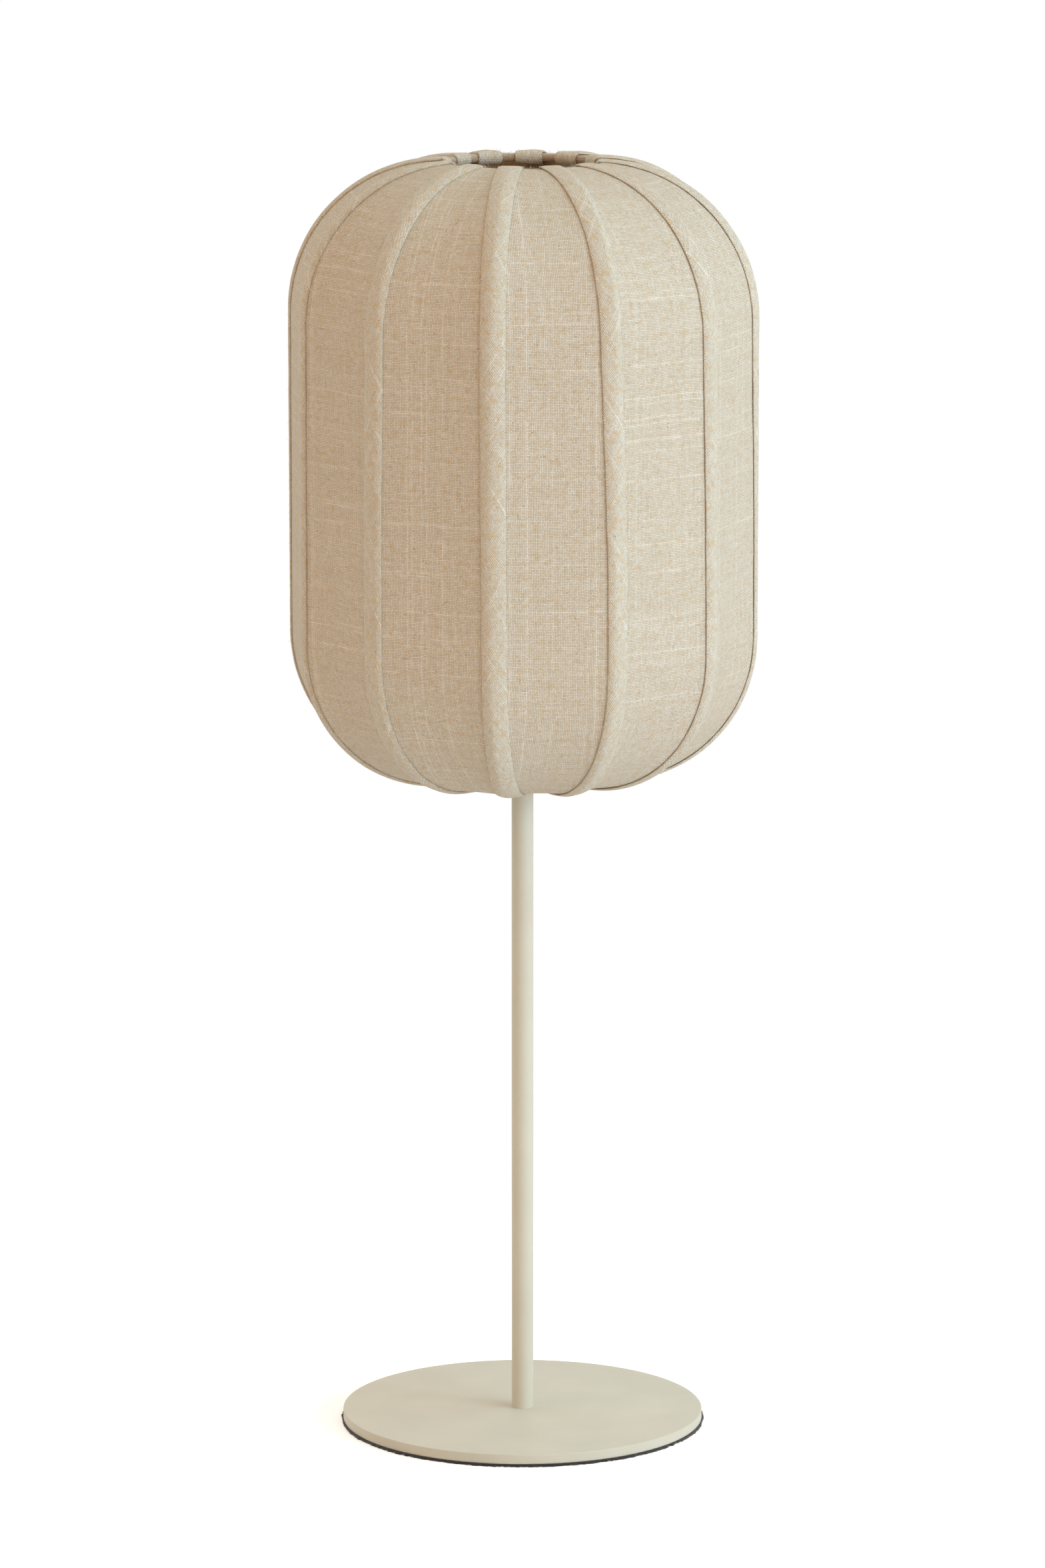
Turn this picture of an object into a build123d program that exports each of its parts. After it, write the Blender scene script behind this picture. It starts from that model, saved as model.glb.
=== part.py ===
from build123d import *
import os
from math import asin, cos, degrees, radians, sin, sqrt, tan

# Table lamp: a round steel foot, a slim tube stem, an E27 lampholder and a panelled linen shade.
# Millimetres, +Z up. The origin is the middle of the foot's underside, and -Y is the front.

# Foot
base_radius = 100.0
base_thickness = 5.5
base_edge_round = 0.5
pad_inset = 0.6
pad_thickness = 1.5
foot_hole_clearance = 0.15
foot_pocket_radius = 13.0
foot_pocket_depth = 3.6
foot_washer_radius = 9.0
foot_washer_thickness = 0.8
foot_nut_across_flats = 14.0
foot_nut_height = 2.5
pad_air = 0.2

# Stem, tapped at both ends for hollow threaded nipples
stem_radius = 6.0
stem_bore_radius = 4.5
stem_length = 350.0
tapped_depth = 13.0
nipple_radius = 5.0
nipple_bore_radius = 3.75
thread_clearance = 0.05
foot_nipple_reach = 11.0
top_nipple_reach = 12.0

# Cord inlet at the back of the stem
inlet_height = 22.0
inlet_bore_radius = 2.9
grommet_wall = 0.8
grommet_lip = 0.9
grommet_stand = 1.1
grommet_tail = 0.9
grommet_clearance = 0.08

# Lampholder
cap_neck_radius = 8.0
cap_neck_height = 7.0
cap_radius = 19.0
cap_height = 24.0
cap_wall = 1.5
cap_floor = 2.0
cap_corner_round = 3.0
core_ledge_radius = 14.0
core_ledge_height = 14.0
core_clearance = 0.1
core_floor_height = 13.0
core_collar_height = 17.0
core_height = 29.0
core_step = 1.0
wire_hole_radius = 1.4
wire_hole_circle = 10.0
wire_hole_turn = 45.0
shell_bore_radius = 13.4
shell_wall = 0.4
shell_clearance = 0.05
shell_height = 17.0
shell_lift = 1.0
shell_foot = 1.5
skirt_flange_radius = 22.0
skirt_flange_height = 3.0
skirt_radius = 19.75
skirt_height = 30.0
grub_radius = 1.5
grub_length = 3.4
grub_clearance = 0.05
grub_socket_across_flats = 1.5
grub_socket_depth = 1.6
terminal_radius = 1.8
terminal_height = 3.0
terminal_circle = 7.6
terminal_slot = 0.6
terminal_slot_depth = 0.8
contact_width = 5.0
contact_gauge = 0.6
contact_rise = 2.0
contact_foot = 7.0
contact_tip = 4.0

# Lamp bulb
button_radius = 4.6
button_height = 1.2
insulator_height = 4.3
insulator_top_radius = 12.0
insulator_low_radius = 7.0
bulb_cap_radius = 13.05
bulb_cap_height = 20.5
bulb_cap_wall = 0.4
bulb_cap_foot_radius = 11.2
bulb_cap_foot = 0.5
glass_gauge = 0.8
glass_clearance = 0.05
glass_tail = 9.0
globe_radius = 30.0
globe_centre_rise = 75.0
neck_radius = 13.2
neck_sweep = 40.0
neck_rise = 1.2

# Shade carrier that the ring nut clamps on the lampholder
fitter_bore_clearance = 0.45
fitter_radius = 27.0
fitter_thickness = 1.5
nut_clearance = 0.05
nut_flange_radius = 28.0
nut_flange_height = 2.0
nut_hub_radius = 23.0
nut_height = 7.0
nut_grip_count = 16
nut_grip_radius = 1.2
arm_wire_radius = 1.5
arm_count = 3
arm_inset = 3.5
arm_flat = 5.5
arm_bend_radius = 5.0

# Shade frame
rib_count = 12
first_rib_angle = -97.4
rib_wire_radius = 1.5
ring_wire_radius = 1.75
frame_radius = 127.0
frame_height = 335.1
ring_radius = 43.5
ring_overhang = 1.0
low_run = 3.0
shade_rise = 9.2

# Linen
cloth_gauge = 0.6
cloth_clearance = 0.05
seam_half_gap = 0.25
tape_half_width = 6.4
tape_crown = 2.1
tape_edge_lift = 0.25
tape_clearance = 0.02
tape_wrap_angle = 140.0

# How far a cutter runs past the faces that it cuts
overrun = 1.0
high_overrun = 20.0

# Heights that follow from the sizes above
plate_top = pad_thickness + base_thickness
stem_top = plate_top + stem_length
cap_top = stem_top + cap_height
grub_height = stem_top + cap_neck_height / 2
core_ledge = stem_top + core_ledge_height
core_floor = core_ledge + core_floor_height
fitter_seat = cap_top + skirt_flange_height
bulb_foot = core_floor + contact_rise
bulb_cap_top = bulb_foot + button_height + insulator_height + bulb_cap_height
low_rib_height = stem_top + shade_rise
high_rib_height = low_rib_height + frame_height

# Radii that follow from the sizes above
pad_radius = base_radius - pad_inset
tapped_radius = nipple_radius + thread_clearance
grommet_radius = inlet_bore_radius + grommet_wall
cap_bore_radius = cap_radius - cap_wall
core_radius = cap_bore_radius - core_clearance
shell_radius = shell_bore_radius + shell_wall
rib_radius = frame_radius - rib_wire_radius
rib_end = ring_radius + ring_overhang
high_bend_radius = rib_radius - rib_end
low_bend_centre = rib_end + low_run
low_bend_radius = rib_radius - low_bend_centre
ring_drop = ring_wire_radius - rib_wire_radius
half_panel = 180.0 / rib_count
cloth_inner = rib_wire_radius + cloth_clearance
cloth_outer = cloth_inner + cloth_gauge
tape_outer = cloth_outer + tape_crown


def turned(*corners):
    """A solid turned about Z, from (radius, height) corners."""
    outline = Polyline(*[(r, 0, z) for r, z in corners], close=True)
    return revolve(make_face(outline), Axis.Z)


def tube(outer, inner, low, high):
    """A tube about Z between two heights."""
    return turned((inner, low), (outer, low), (outer, high), (inner, high))


def across(radius, near, far, height):
    """A round bar along +Y between two distances from the axis."""
    bar = Cylinder(radius, far - near)
    return Pos(0, (near + far) / 2, height) * Rot(X=90) * bar


def base_plate():
    plate = Pos(0, 0, pad_thickness + base_thickness / 2) * Cylinder(base_radius, base_thickness)
    rims = plate.edges().filter_by(GeomType.CIRCLE)
    plate = fillet(rims, base_edge_round)
    hole = nipple_radius + foot_hole_clearance
    plate -= tube(hole, 0, pad_thickness - overrun, plate_top + overrun)
    return plate - tube(foot_pocket_radius, 0, pad_thickness - overrun, pad_thickness + foot_pocket_depth)


def base_pad():
    return tube(pad_radius, 0, 0, pad_thickness)


def foot_washer():
    ceiling = pad_thickness + foot_pocket_depth
    low = ceiling - foot_washer_thickness
    return tube(foot_washer_radius, nipple_radius + foot_hole_clearance, low, ceiling)


def foot_nut():
    high = pad_thickness + foot_pocket_depth - foot_washer_thickness
    low = high - foot_nut_height
    corner = foot_nut_across_flats / 2 / cos(radians(30))
    blank = extrude(Pos(0, 0, low) * RegularPolygon(corner, 6), foot_nut_height)
    return blank - tube(tapped_radius, 0, low - overrun, high + overrun)


def foot_nipple():
    low = pad_thickness + pad_air
    return tube(nipple_radius, nipple_bore_radius, low, plate_top + foot_nipple_reach)


def stem():
    body = tube(stem_radius, stem_bore_radius, plate_top, stem_top)
    body -= tube(tapped_radius, 0, plate_top - overrun, plate_top + tapped_depth)
    body -= tube(tapped_radius, 0, stem_top - tapped_depth, stem_top + overrun)
    hole = grommet_radius + grommet_clearance
    return body - across(hole, 0, stem_radius + overrun, plate_top + inlet_height)


def cord_grommet():
    height = plate_top + inlet_height
    back = stem_radius + grommet_stand
    lip = across(grommet_radius + grommet_lip, 0, back, height)
    lip -= tube(stem_radius + grommet_clearance, 0, height - high_overrun, height + high_overrun)
    sleeve = across(grommet_radius, stem_bore_radius - grommet_tail, back, height)
    return lip + sleeve - across(inlet_bore_radius, 0, back + overrun, height)


def stem_nipple():
    low = stem_top - top_nipple_reach
    high = stem_top + cap_neck_height + cap_floor
    return tube(nipple_radius, nipple_bore_radius, low, high)


def holder_cap():
    shoulder = stem_top + cap_neck_height
    outside = turned((0, stem_top), (cap_neck_radius, stem_top), (cap_neck_radius, shoulder),
                     (cap_radius, shoulder), (cap_radius, cap_top), (0, cap_top))
    rims = outside.edges().filter_by(GeomType.CIRCLE)
    widest = [rim for rim in rims if abs(rim.radius - cap_radius) < cap_corner_round]
    outside = fillet(min(widest, key=lambda rim: rim.center().Z), cap_corner_round)
    cavity = turned((0, shoulder + cap_floor), (core_ledge_radius, shoulder + cap_floor),
                    (core_ledge_radius, core_ledge), (cap_bore_radius, core_ledge),
                    (cap_bore_radius, cap_top + overrun), (0, cap_top + overrun))
    entry = tube(tapped_radius, 0, stem_top - overrun, shoulder + cap_floor + overrun)
    lock_hole = across(grub_radius + grub_clearance, 0, cap_neck_radius + overrun, grub_height)
    return outside - cavity - entry - lock_hole


def holder_grub_screw():
    tip = nipple_radius + thread_clearance
    end = tip + grub_length
    screw = across(grub_radius, tip, end, grub_height)
    corner = grub_socket_across_flats / 2 / cos(radians(30))
    socket = extrude(RegularPolygon(corner, 6), grub_socket_depth)
    return screw - Pos(0, end, grub_height) * Rot(X=90) * socket


def holder_core():
    collar = core_ledge + core_collar_height
    high = core_ledge + core_height
    body = turned((0, core_ledge), (core_radius, core_ledge), (core_radius, collar),
                  (core_radius - core_step, collar), (core_radius - core_step, high), (0, high))
    body -= tube(shell_radius + shell_clearance, 0, core_floor, high + overrun)
    hole = tube(wire_hole_radius, 0, core_ledge - overrun, core_floor + overrun)
    for turn in (wire_hole_turn, wire_hole_turn + 180):
        body -= Rot(Z=turn) * Pos(wire_hole_circle, 0, 0) * hole
    return body


def terminal_screws():
    """Two slotted screws under the core, one for each conductor."""
    low = core_ledge - terminal_height
    blade = Box(4 * terminal_radius, terminal_slot, 2 * terminal_slot_depth)
    screw = tube(terminal_radius, 0, low, core_ledge) - Pos(0, 0, low) * blade
    return Compound([Pos(side * terminal_circle, 0, 0) * screw for side in (-1, 1)])


def screw_shell():
    low = core_floor + shell_lift
    wall = tube(shell_radius, shell_bore_radius, low, low + shell_height)
    foot = tube(shell_radius, shell_bore_radius - shell_foot, core_floor, low)
    return wall + foot


def centre_contact():
    """A bent strip from the core's floor up to the bulb's button."""
    low = core_floor
    high = core_floor + contact_rise - contact_gauge
    bend = -contact_foot
    edge = [(bend - contact_tip, low), (bend, low), (-contact_tip, high), (contact_tip, high)]
    top = [(x, z + contact_gauge) for x, z in reversed(edge)]
    outline = Polyline(*[(x, 0, z) for x, z in edge + top], close=True)
    return extrude(make_face(outline), contact_width / 2, both=True)


def holder_skirt():
    flange = tube(skirt_flange_radius, cap_bore_radius, cap_top, fitter_seat)
    return flange + tube(skirt_radius, cap_bore_radius, cap_top, cap_top + skirt_height)


def shade_nut():
    low = fitter_seat + fitter_thickness + nut_clearance
    ring = turned((skirt_radius + thread_clearance, low), (nut_flange_radius, low),
                  (nut_flange_radius, low + nut_flange_height), (nut_hub_radius, low + nut_flange_height),
                  (nut_hub_radius, low + nut_height), (skirt_radius + thread_clearance, low + nut_height))
    grip = tube(nut_grip_radius, 0, low - overrun, low + nut_flange_height + overrun)
    for turn in range(nut_grip_count):
        ring -= Rot(Z=turn * 360 / nut_grip_count) * Pos(nut_flange_radius, 0, 0) * grip
    return ring


def bulb_contact():
    return tube(button_radius, 0, bulb_foot, bulb_foot + button_height)


def bulb_insulator():
    low = bulb_foot + button_height
    high = low + insulator_height
    return turned((0, low), (insulator_low_radius, low), (insulator_top_radius, high), (0, high))


def bulb_cap():
    low = bulb_cap_top - bulb_cap_height
    inner = bulb_cap_radius - bulb_cap_wall
    return turned((bulb_cap_foot_radius, low), (insulator_top_radius, low),
                  (bulb_cap_radius, low + bulb_cap_foot), (bulb_cap_radius, bulb_cap_top),
                  (inner, bulb_cap_top), (inner, low + 2 * bulb_cap_foot),
                  (bulb_cap_foot_radius, low + bulb_cap_foot))


def globe_outline(inset):
    """The globe's flare, its ball up to the crown, and the height where the flare begins."""
    radius = globe_radius - inset
    neck = neck_radius - inset
    sweep = neck_sweep + inset
    centre = bulb_foot + globe_centre_rise
    drop = sqrt((radius + sweep) ** 2 - (neck + sweep) ** 2)
    lean = degrees(asin(drop / (radius + sweep)))
    flare = CenterArc((neck + sweep, centre - drop), sweep, 180 - lean, lean)
    ball = CenterArc((0, centre), radius, -lean, 90 + lean)
    return flare, ball, centre - drop


def globe_body(inset, tail_low):
    """The globe filled solid, with its tail inside the bulb's cap."""
    flare, ball, start = globe_outline(inset)
    centre = bulb_foot + globe_centre_rise
    tail_radius = bulb_cap_radius - bulb_cap_wall - glass_clearance - inset
    step = bulb_cap_top + neck_rise + inset
    tail = Polyline((0, tail_low), (tail_radius, tail_low), (tail_radius, bulb_cap_top + inset),
                    (neck_radius - inset, step), (neck_radius - inset, start))
    crown = Line((0, centre + globe_radius - inset), (0, tail_low))
    return revolve(Plane.XZ * make_face(tail + flare + ball + crown), Axis.Z)


def bulb_globe():
    low = bulb_cap_top - glass_tail
    return globe_body(0, low) - globe_body(glass_gauge, low - overrun)


def shade_fitter():
    bore = skirt_radius + fitter_bore_clearance
    return tube(fitter_radius, bore, fitter_seat, fitter_seat + fitter_thickness)


def frame_ring(height):
    return Pos(0, 0, height) * Torus(ring_radius, ring_wire_radius)


def top_ring():
    return frame_ring(high_rib_height - ring_drop)


def bottom_ring():
    return frame_ring(low_rib_height + ring_drop)


def fitter_arm():
    level = fitter_seat - arm_wire_radius
    start = fitter_radius - arm_inset
    path = Plane.XZ * FilletPolyline((start, level), (start + arm_flat, level),
                                     (ring_radius, low_rib_height + ring_drop), radius=arm_bend_radius)
    wire = sweep(Plane(path @ 0, z_dir=path % 0) * Circle(arm_wire_radius), path=path)
    return wire - bottom_ring()


def fitter_arms():
    """Three wires from the carrier ring down to the bottom ring, each under the middle of a panel."""
    arm = fitter_arm()
    turns = [first_rib_angle + half_panel + k * 360 / arm_count for k in range(arm_count)]
    return Compound([Rot(Z=turn) * arm for turn in turns])


def rib_path():
    """The rib's centre line, from the bottom ring out, up and in to the top ring."""
    low_bend = low_rib_height + low_bend_radius
    high_bend = high_rib_height - high_bend_radius
    foot = Line((rib_end, low_rib_height), (low_bend_centre, low_rib_height))
    low = CenterArc((low_bend_centre, low_bend), low_bend_radius, -90, 90)
    side = Line((rib_radius, low_bend), (rib_radius, high_bend))
    high = CenterArc((rib_end, high_bend), high_bend_radius, 0, 90)
    return Plane.XZ * Wire([foot, low, side, high])


def frame_rib():
    path = rib_path()
    wire = sweep(Plane(path @ 0, z_dir=path % 0) * Circle(rib_wire_radius), path=path)
    return wire - top_ring() - bottom_ring()


def panel_side(lift):
    """The side view of a panel's face that lies lift outside the ribs' centre line, (distance, height)."""
    squeeze = cos(radians(half_panel))
    wall = rib_radius * squeeze + lift
    low_centre = low_bend_centre * squeeze
    high_centre = rib_end * squeeze
    low_bend = low_rib_height + low_bend_radius
    high_bend = high_rib_height - high_bend_radius
    low = EllipticalCenterArc((low_centre, low_bend), wall - low_centre, low_bend_radius + lift, -90,
                              arc_size=90)
    side = Line((wall, low_bend), (wall, high_bend))
    high = EllipticalCenterArc((high_centre, high_bend), wall - high_centre, high_bend_radius + lift, 0,
                               arc_size=90)
    return low, side, high


def panel_block(lift, reach):
    """Everything inside a panel's face, between the two planes through the middles of its ribs."""
    low, side, high = panel_side(lift)
    low_end = low @ 0
    high_end = high @ 1
    start = low_rib_height - lift
    end = high_rib_height + lift
    back = Polyline((high_end.X, end), (reach, end), (reach, start), (low_end.X, start))
    face = Plane.XZ * make_face([low, side, high, *back.edges()])
    return extrude(face, frame_radius, both=True)


def panel_wedge(half_gap):
    """The space between the two seams beside a panel, each half_gap from its rib's plane."""
    far = 2 * frame_radius
    tip = half_gap / sin(radians(half_panel))
    side = (far - tip) * tan(radians(half_panel))
    outline = Polyline((tip, 0), (far, side), (far, -side), close=True)
    floor = low_rib_height - high_overrun
    return extrude(Pos(0, 0, floor) * make_face(outline), frame_height + 2 * high_overrun)


def linen_panel():
    reach = ring_radius / 2
    cloth = panel_block(cloth_outer, reach) - panel_block(cloth_inner, reach - overrun)
    cloth &= panel_wedge(seam_half_gap)
    return cloth - tube(ring_radius, 0, low_rib_height - high_overrun, high_rib_height + high_overrun)


def tape_section(floor):
    """The tape's cross-section above floor: a low crown, (lift from the rib's line, across)."""
    edge = cloth_outer + tape_edge_lift
    crown = ThreePointArc((edge, -tape_half_width), (tape_outer, 0), (edge, tape_half_width))
    sides = Polyline((edge, tape_half_width), (floor, tape_half_width), (floor, -tape_half_width),
                     (edge, -tape_half_width))
    return make_face([crown, *sides.edges()])


def tape_wrap(ring_height, side):
    """The tape's end, turned in over a ring: side is 1 at the top ring and -1 at the bottom one."""
    section = tape_section(cloth_outer + tape_clearance)
    spot = Plane((ring_radius, 0, ring_height), x_dir=(0, 0, side), z_dir=(-side, 0, 0))
    axis = Axis((ring_radius, 0, ring_height), (0, -1, 0))
    return revolve(spot * Pos(ring_drop, 0) * section, axis, side * tape_wrap_angle)


def seam_tape():
    """The crowned strip that covers one seam, laid along its rib and over both rings."""
    low_bend = low_rib_height + low_bend_radius
    high_bend = high_rib_height - high_bend_radius
    section = tape_section(0)
    side_spot = Plane((rib_radius, 0, low_bend), x_dir=(1, 0, 0), z_dir=(0, 0, 1))
    side = extrude(side_spot * section, high_bend - low_bend)
    high_spot = Plane((rib_radius, 0, high_bend), x_dir=(1, 0, 0), z_dir=(0, 0, 1))
    high = revolve(high_spot * section, Axis((rib_end, 0, high_bend), (0, -1, 0)), 90)
    low = revolve(side_spot * section, Axis((low_bend_centre, 0, low_bend), (0, 1, 0)), 90)
    high_end = Plane((rib_end, 0, high_rib_height), x_dir=(0, 0, 1), z_dir=(-1, 0, 0))
    low_end = Plane((low_bend_centre, 0, low_rib_height), x_dir=(0, 0, -1), z_dir=(-1, 0, 0))
    tape = side + high + low
    tape += extrude(high_end * section, rib_end - ring_radius)
    tape += extrude(low_end * section, low_bend_centre - ring_radius)
    block = panel_block(cloth_outer + tape_clearance, 0) & panel_wedge(0)
    for turn in (-half_panel, half_panel):
        tape -= Rot(Z=turn) * block
    return tape + tape_wrap(high_rib_height - ring_drop, 1) + tape_wrap(low_rib_height + ring_drop, -1)


def save(shape, name):
    export_step(shape, f"parts/{name}.step")


os.makedirs("parts", exist_ok=True)

single_pieces = {
    "base_plate": base_plate, "base_pad": base_pad, "foot_washer": foot_washer, "foot_nut": foot_nut,
    "foot_nipple": foot_nipple, "stem": stem, "cord_grommet": cord_grommet, "stem_nipple": stem_nipple,
    "holder_cap": holder_cap, "holder_grub_screw": holder_grub_screw, "holder_core": holder_core,
    "terminal_screws": terminal_screws, "screw_shell": screw_shell, "centre_contact": centre_contact,
    "holder_skirt": holder_skirt, "shade_nut": shade_nut, "bulb_contact": bulb_contact,
    "bulb_insulator": bulb_insulator, "bulb_cap": bulb_cap, "bulb_globe": bulb_globe,
    "shade_fitter": shade_fitter, "fitter_arms": fitter_arms, "shade_top_ring": top_ring,
    "shade_bottom_ring": bottom_ring,
}
for name, make in single_pieces.items():
    save(make(), name)

# The ribs, the panels between them and the tapes over the seams repeat around the shade
for name, shape, offset in (("frame_rib", frame_rib(), 0), ("linen_panel", linen_panel(), half_panel),
                            ("seam_tape", seam_tape(), 0)):
    for k in range(rib_count):
        turn = first_rib_angle + offset + k * 360 / rib_count
        save(Rot(Z=turn) * shape, f"{name}_{k + 1:02d}")
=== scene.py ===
from math import cos, hypot, pi, radians, sin, tan

import bpy
import numpy as np
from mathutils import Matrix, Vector


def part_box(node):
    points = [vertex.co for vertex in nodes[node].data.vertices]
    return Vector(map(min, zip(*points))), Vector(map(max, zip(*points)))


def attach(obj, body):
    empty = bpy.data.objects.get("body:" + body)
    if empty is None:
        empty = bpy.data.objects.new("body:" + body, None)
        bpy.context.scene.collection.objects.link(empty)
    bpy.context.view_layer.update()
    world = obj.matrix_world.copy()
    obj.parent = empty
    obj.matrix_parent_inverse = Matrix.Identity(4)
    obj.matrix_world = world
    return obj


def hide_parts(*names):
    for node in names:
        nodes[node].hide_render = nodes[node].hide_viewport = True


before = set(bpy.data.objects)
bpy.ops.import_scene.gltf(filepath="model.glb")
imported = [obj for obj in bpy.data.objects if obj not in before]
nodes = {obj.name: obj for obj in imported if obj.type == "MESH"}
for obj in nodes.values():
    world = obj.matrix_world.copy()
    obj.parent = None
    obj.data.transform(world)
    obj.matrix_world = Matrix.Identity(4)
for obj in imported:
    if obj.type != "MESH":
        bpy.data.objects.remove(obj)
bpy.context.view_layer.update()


# The foot is a turned steel disc with a hair of a rounded rim, drilled in the middle for the stem.
# It is powder coated cream: a satin coat with a faint orange peel and a slow change of tone.

def new_finish(name):
    """An empty material and its node tree."""
    finish = bpy.data.materials.new(name)
    finish.use_nodes = True
    finish.node_tree.nodes.clear()
    return finish, finish.node_tree


def add(tree, kind, inputs=None, **settings):
    """One node of a tree, with its settings, and its inputs by name as values or other nodes' sockets."""
    made = tree.nodes.new(kind)
    for key, value in settings.items():
        setattr(made, key, value)
    for key, value in (inputs or {}).items():
        if isinstance(value, bpy.types.NodeSocket):
            tree.links.new(value, made.inputs[key])
        else:
            made.inputs[key].default_value = value
    return made


def calc(tree, operation, *values):
    """One Math node on values or sockets, and its result."""
    made = tree.nodes.new("ShaderNodeMath")
    made.operation = operation
    for socket, value in zip(made.inputs, values):
        if isinstance(value, bpy.types.NodeSocket):
            tree.links.new(value, socket)
        else:
            socket.default_value = value
    return made.outputs[0]


def remap(tree, value, low, high, new_low, new_high):
    """A value brought from one range to another, and held inside it."""
    made = add(tree, "ShaderNodeMapRange", {"Value": value, "From Min": low, "From Max": high,
                                            "To Min": new_low, "To Max": new_high})
    return made.outputs["Result"]


def blend_colours(tree, share, first, second):
    """Two colours mixed by a share."""
    made = add(tree, "ShaderNodeMix", data_type="RGBA")
    for index, value in ((0, share), (6, first), (7, second)):
        if isinstance(value, bpy.types.NodeSocket):
            tree.links.new(value, made.inputs[index])
        elif index == 0:
            made.inputs[index].default_value = value
        else:
            made.inputs[index].default_value = (*value, 1)
    return made.outputs[2]


def grain(tree, place, scale, detail=2.0, roughness=0.5):
    """A noise on a place, scale in lumps per metre, and its value from 0 to 1."""
    made = add(tree, "ShaderNodeTexNoise", {"Vector": place, "Scale": scale, "Detail": detail,
                                            "Roughness": roughness})
    return made.outputs["Fac"]


def object_place(tree):
    """The place of each point on its piece, in metres."""
    return add(tree, "ShaderNodeTexCoord").outputs["Object"]


def close_finish(tree, surface):
    """Ends a material's tree in its surface."""
    add(tree, "ShaderNodeOutputMaterial", {"Surface": surface})


def coated_finish(name, colour, roughness, peel_scale, peel_height, tone=0.04, gloss=0.5):
    """Paint or a satin moulding: an even colour with a slow change of tone and a fine raised peel."""
    finish, tree = new_finish(name)
    place = object_place(tree)
    slow = grain(tree, place, 22.0, 3.0)
    fine = grain(tree, place, peel_scale, 3.0, 0.6)
    dark = tuple(c * (1 - tone) for c in colour)
    light = tuple(min(1.0, c * (1 + tone)) for c in colour)
    tint = blend_colours(tree, remap(tree, slow, 0.3, 0.7, 0.0, 1.0), dark, light)
    rough = remap(tree, fine, 0.3, 0.7, roughness - 0.05, roughness + 0.05)
    bump = add(tree, "ShaderNodeBump", {"Height": fine, "Strength": 0.5, "Distance": peel_height})
    coat = add(tree, "ShaderNodeBsdfPrincipled", {"Base Color": tint, "Roughness": rough,
                                                  "Specular IOR Level": gloss,
                                                  "Normal": bump.outputs["Normal"]})
    close_finish(tree, coat.outputs["BSDF"])
    return finish


def dress(node, finish):
    """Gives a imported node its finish, and leaves its shape and place alone."""
    data = nodes[node].data
    data.materials.clear()
    data.materials.append(finish)


cream_coat = coated_finish("cream_powder_coat", (0.618, 0.605, 0.512), 0.52, 1400.0, 0.00006, gloss=0.28)
dress("base_plate", cream_coat)


# The pad is black needle felt, 1.5 mm thick, cut round and glued under the foot. The plate's weight
# spreads it a little past the plate. Its cut edge is ragged, and shows as a thin black line.

pad_low, pad_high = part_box("base_pad")
pad_spread = 0.0007
pad_glue = 0.00003
pad_top = pad_high.z - pad_glue
pad_raggedness = 0.00035
pad_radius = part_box("base_plate")[1].x + pad_spread
pad_steps = 720
pad_rings = (0.0, 0.25, 0.5, 0.7, 0.85, 0.94, 0.98)
felt_chance = np.random.default_rng(11)


def felt_finish():
    """Black felt: matted fibres with a few grey ones."""
    finish, tree = new_finish("black_needle_felt")
    place = object_place(tree)
    matted = grain(tree, place, 900.0, 6.0, 0.7)
    lint = remap(tree, grain(tree, place, 2600.0, 2.0), 0.66, 0.74, 0.0, 1.0)
    dark = blend_colours(tree, matted, (0.006, 0.006, 0.006), (0.03, 0.028, 0.026))
    tint = blend_colours(tree, calc(tree, "MULTIPLY", lint, 0.5), dark, (0.16, 0.15, 0.14))
    bump = add(tree, "ShaderNodeBump", {"Height": matted, "Strength": 0.9, "Distance": 0.0006})
    felt = add(tree, "ShaderNodeBsdfPrincipled", {"Base Color": tint, "Roughness": 0.95,
                                                  "Sheen Weight": 0.3, "Normal": bump.outputs["Normal"]})
    close_finish(tree, felt.outputs["BSDF"])
    return finish


def felt_disc():
    """A closed disc whose rim wanders in and out and lifts a little off the table."""
    turns = np.arange(pad_steps) * 2 * pi / pad_steps
    ragged = felt_chance.normal(0, 1, pad_steps)
    ragged = (ragged + np.roll(ragged, 1) + np.roll(ragged, -1)) / 3
    slow = np.sin(2 * turns + 0.4) * 0.2 + np.sin(5 * turns + 1.0) * 0.3 + np.sin(13 * turns) * 0.3
    reach = pad_radius + (ragged + slow) * pad_raggedness
    lift = np.abs(np.roll(ragged, 5)) * pad_raggedness
    loops = [(reach * share, np.full(pad_steps, pad_low.z)) for share in pad_rings[1:]]
    loops.append((reach, pad_low.z + lift))
    loops.append((reach + 0.00008, pad_low.z + (pad_high.z - pad_low.z) * 0.6 + lift * 0.3))
    loops.append((reach, np.full(pad_steps, pad_top)))
    loops += [(reach * share, np.full(pad_steps, pad_top)) for share in pad_rings[:0:-1]]
    vertices = [(0, 0, pad_low.z)]
    for radius, height in loops:
        vertices += list(zip(radius * np.cos(turns), radius * np.sin(turns), height))
    vertices.append((0, 0, pad_top))
    faces = []
    for j in range(pad_steps):
        after = (j + 1) % pad_steps
        faces.append((0, 1 + after, 1 + j))
        last = 1 + (len(loops) - 1) * pad_steps
        faces.append((len(vertices) - 1, last + j, last + after))
        for i in range(len(loops) - 1):
            low, high = 1 + i * pad_steps, 1 + (i + 1) * pad_steps
            faces.append((low + j, low + after, high + after, high + j))
    return vertices, faces


def new_piece(name, vertices, faces, finish, smooth=True):
    """A mesh object at the origin, with its place in its mesh."""
    data = bpy.data.meshes.new(name)
    data.from_pydata([tuple(float(x) for x in v) for v in vertices], [], [tuple(f) for f in faces])
    data.materials.append(finish)
    if smooth:
        data.polygons.foreach_set("use_smooth", [True] * len(data.polygons))
    data.update()
    piece = bpy.data.objects.new(name, data)
    bpy.context.scene.collection.objects.link(piece)
    return piece


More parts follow.
